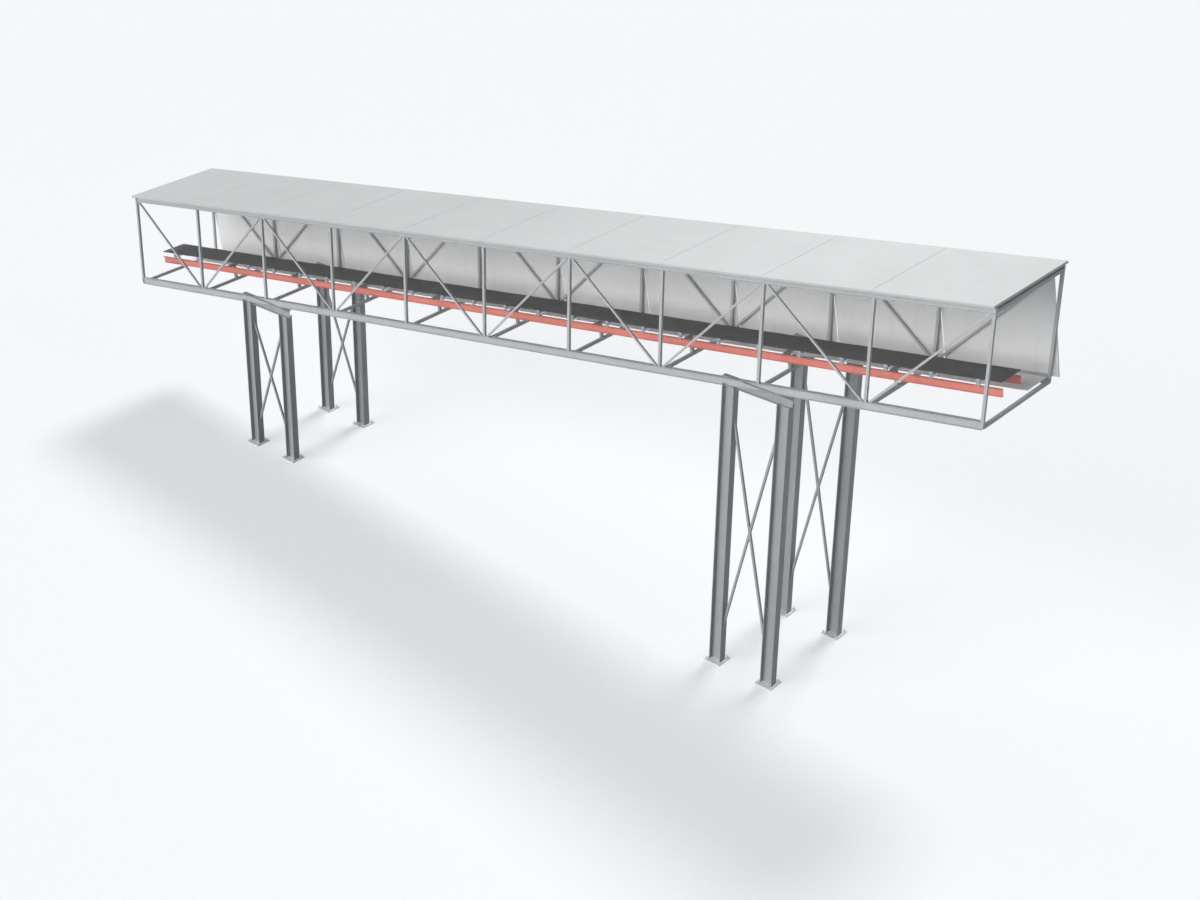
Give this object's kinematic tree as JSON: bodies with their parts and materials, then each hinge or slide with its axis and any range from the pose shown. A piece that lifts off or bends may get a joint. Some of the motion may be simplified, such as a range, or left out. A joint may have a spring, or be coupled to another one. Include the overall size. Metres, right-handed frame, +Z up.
{
  "type": "inclined conveyor gallery",
  "caption": "Inclined truss gallery carrying a belt conveyor and walkway, roofed and clad on one side, on braced column trestles.",
  "frame": {"origin": "on the ground, midway along the gallery and midway between the two trusses", "axes": "+X horizontal along the gallery towards its high end, +Y towards the clad side, +Z up"},
  "size_m": [29.9546, 3.5, 12.1277],
  "materials": {
    "truss_steel": "grey painted structural steel, satin",
    "trestle_steel": "grey painted structural steel, satin",
    "plate_steel": "pale grey painted steel plate, satin",
    "roof_sheet": "pale grey coated sheet, smooth, slightly weathered",
    "wall_sheet": "pale grey coated sheet, smooth, slightly weathered",
    "walkway_steel": "pale coated plate",
    "red_steel": "salmon red paint, satin",
    "belt_rubber": "dark grey rubber, matt",
    "roller_steel": "blue-grey rolled steel tube",
    "bracket_steel": "grey painted plate"
  },
  "bodies": {
    "root": {"bottom_chord_front": "truss_steel", "bottom_chord_back": "truss_steel", "top_chord_front": "truss_steel", "top_chord_back": "truss_steel", "posts_front": "truss_steel", "posts_back": "truss_steel", "diagonals_front": "truss_steel", "diagonals_back": "truss_steel", "floor_beams": "truss_steel", "roof_beams": "truss_steel", "roof_panel_01": "roof_sheet", "roof_panel_02": "roof_sheet", "roof_panel_03": "roof_sheet", "roof_panel_04": "roof_sheet", "roof_panel_05": "roof_sheet", "roof_panel_06": "roof_sheet", "roof_panel_07": "roof_sheet", "roof_panel_08": "roof_sheet", "roof_panel_09": "roof_sheet", "roof_panel_10": "roof_sheet", "wall_panel_01": "wall_sheet", "wall_panel_02": "wall_sheet", "wall_panel_03": "wall_sheet", "wall_panel_04": "wall_sheet", "wall_panel_05": "wall_sheet", "wall_panel_06": "wall_sheet", "wall_panel_07": "wall_sheet", "wall_panel_08": "wall_sheet", "wall_panel_09": "wall_sheet", "wall_panel_10": "wall_sheet", "walkway_plate": "walkway_steel", "walkway_bearers": "truss_steel", "stringer_front": "red_steel", "stringer_back": "red_steel", "conveyor_pedestals": "bracket_steel", "idler_brackets": "bracket_steel", "idler_rollers": "roller_steel", "belt": "belt_rubber", "low_columns": "trestle_steel", "low_cap_beams": "trestle_steel", "low_braces": "trestle_steel", "low_base_plates": "plate_steel", "high_columns": "trestle_steel", "high_cap_beams": "trestle_steel", "high_braces": "trestle_steel", "high_base_plates": "plate_steel"}
  },
  "joints": []
}
